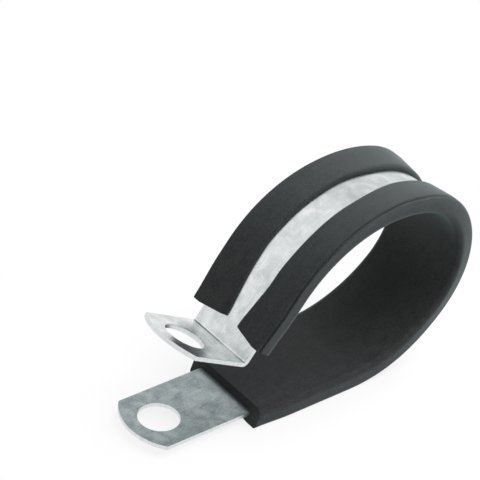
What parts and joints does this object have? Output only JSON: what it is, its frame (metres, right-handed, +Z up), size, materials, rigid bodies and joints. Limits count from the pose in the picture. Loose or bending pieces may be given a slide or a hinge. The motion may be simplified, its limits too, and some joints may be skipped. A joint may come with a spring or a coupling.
{
  "type": "p clip",
  "caption": "Rubber-lined P clip: a sheet steel strip bent to an open loop with a punched mounting tab at each end, its loop sheathed in channel-section rubber.",
  "frame": {"origin": "centre of the lower mounting hole, on the underside of the lower tab", "axes": "+X from that hole towards the loop, +Y across the band and along a held cable, +Z up out of the hole"},
  "size_m": [0.058, 0.0164, 0.0333],
  "materials": {
    "zinc_steel": "rolled sheet, clear zinc plated",
    "black_rubber": "extruded EPDM, satin"
  },
  "bodies": {
    "root": {"steel_band": "zinc_steel", "rubber_liner": "black_rubber"}
  },
  "joints": []
}
